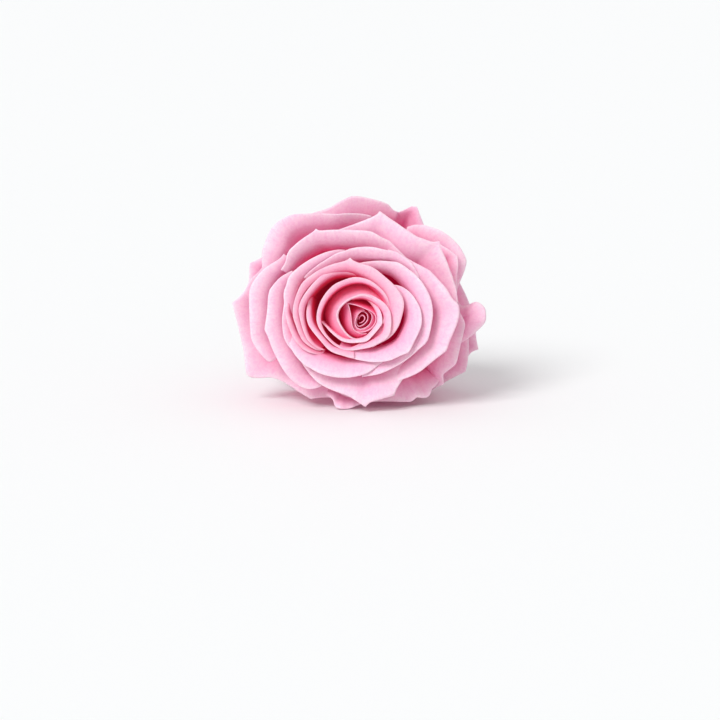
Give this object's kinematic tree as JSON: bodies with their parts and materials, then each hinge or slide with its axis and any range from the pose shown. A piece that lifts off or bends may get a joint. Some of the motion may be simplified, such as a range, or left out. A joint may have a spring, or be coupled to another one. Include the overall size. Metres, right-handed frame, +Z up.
{
  "type": "preserved rose",
  "caption": "Fully open preserved rose head in pale pink, lying on its side, with calyx and short cut stem.",
  "frame": {"origin": "centre of the bounding box's bottom face, on the surface that the rose lies on", "axes": "+X across the face of the bloom, -Y the way the face looks, +Z up"},
  "size_m": [0.0702, 0.0602, 0.0549],
  "materials": {
    "petal": "matte, soft and slightly velvety, pale at the rims and deep pink in the folds",
    "calyx": "matte green"
  },
  "bodies": {
    "root": {"bloom": "petal", "calyx": "calyx"}
  },
  "joints": []
}
